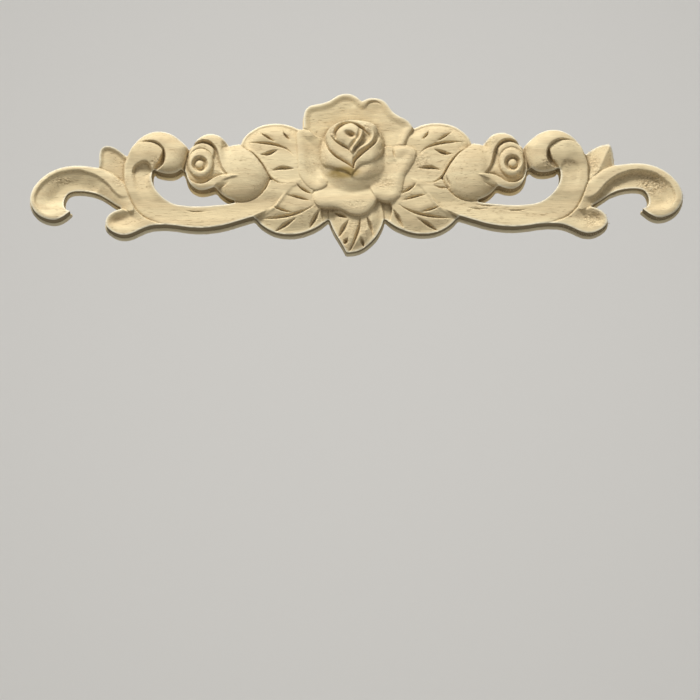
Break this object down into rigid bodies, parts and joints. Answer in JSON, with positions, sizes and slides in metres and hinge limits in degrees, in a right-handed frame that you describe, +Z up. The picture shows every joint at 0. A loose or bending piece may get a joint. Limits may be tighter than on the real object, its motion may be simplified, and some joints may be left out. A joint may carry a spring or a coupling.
{
  "type": "wood applique",
  "caption": "Carved wood applique: a rose with leaves and hips between mirrored C scrolls and curled ends, flat back, for fixing to furniture or a frame.",
  "frame": {"origin": "on the flat back, at the middle of the length and of the height", "axes": "+X along the length towards the right-hand end seen from the front, +Z up, +Y out of the back into the surface it is fixed to, so the carving faces -Y"},
  "size_m": [0.28, 0.0146, 0.0709],
  "materials": {
    "rubberwood": "bare sanded wood, unfinished"
  },
  "bodies": {
    "root": {"applique": "rubberwood"}
  },
  "joints": []
}
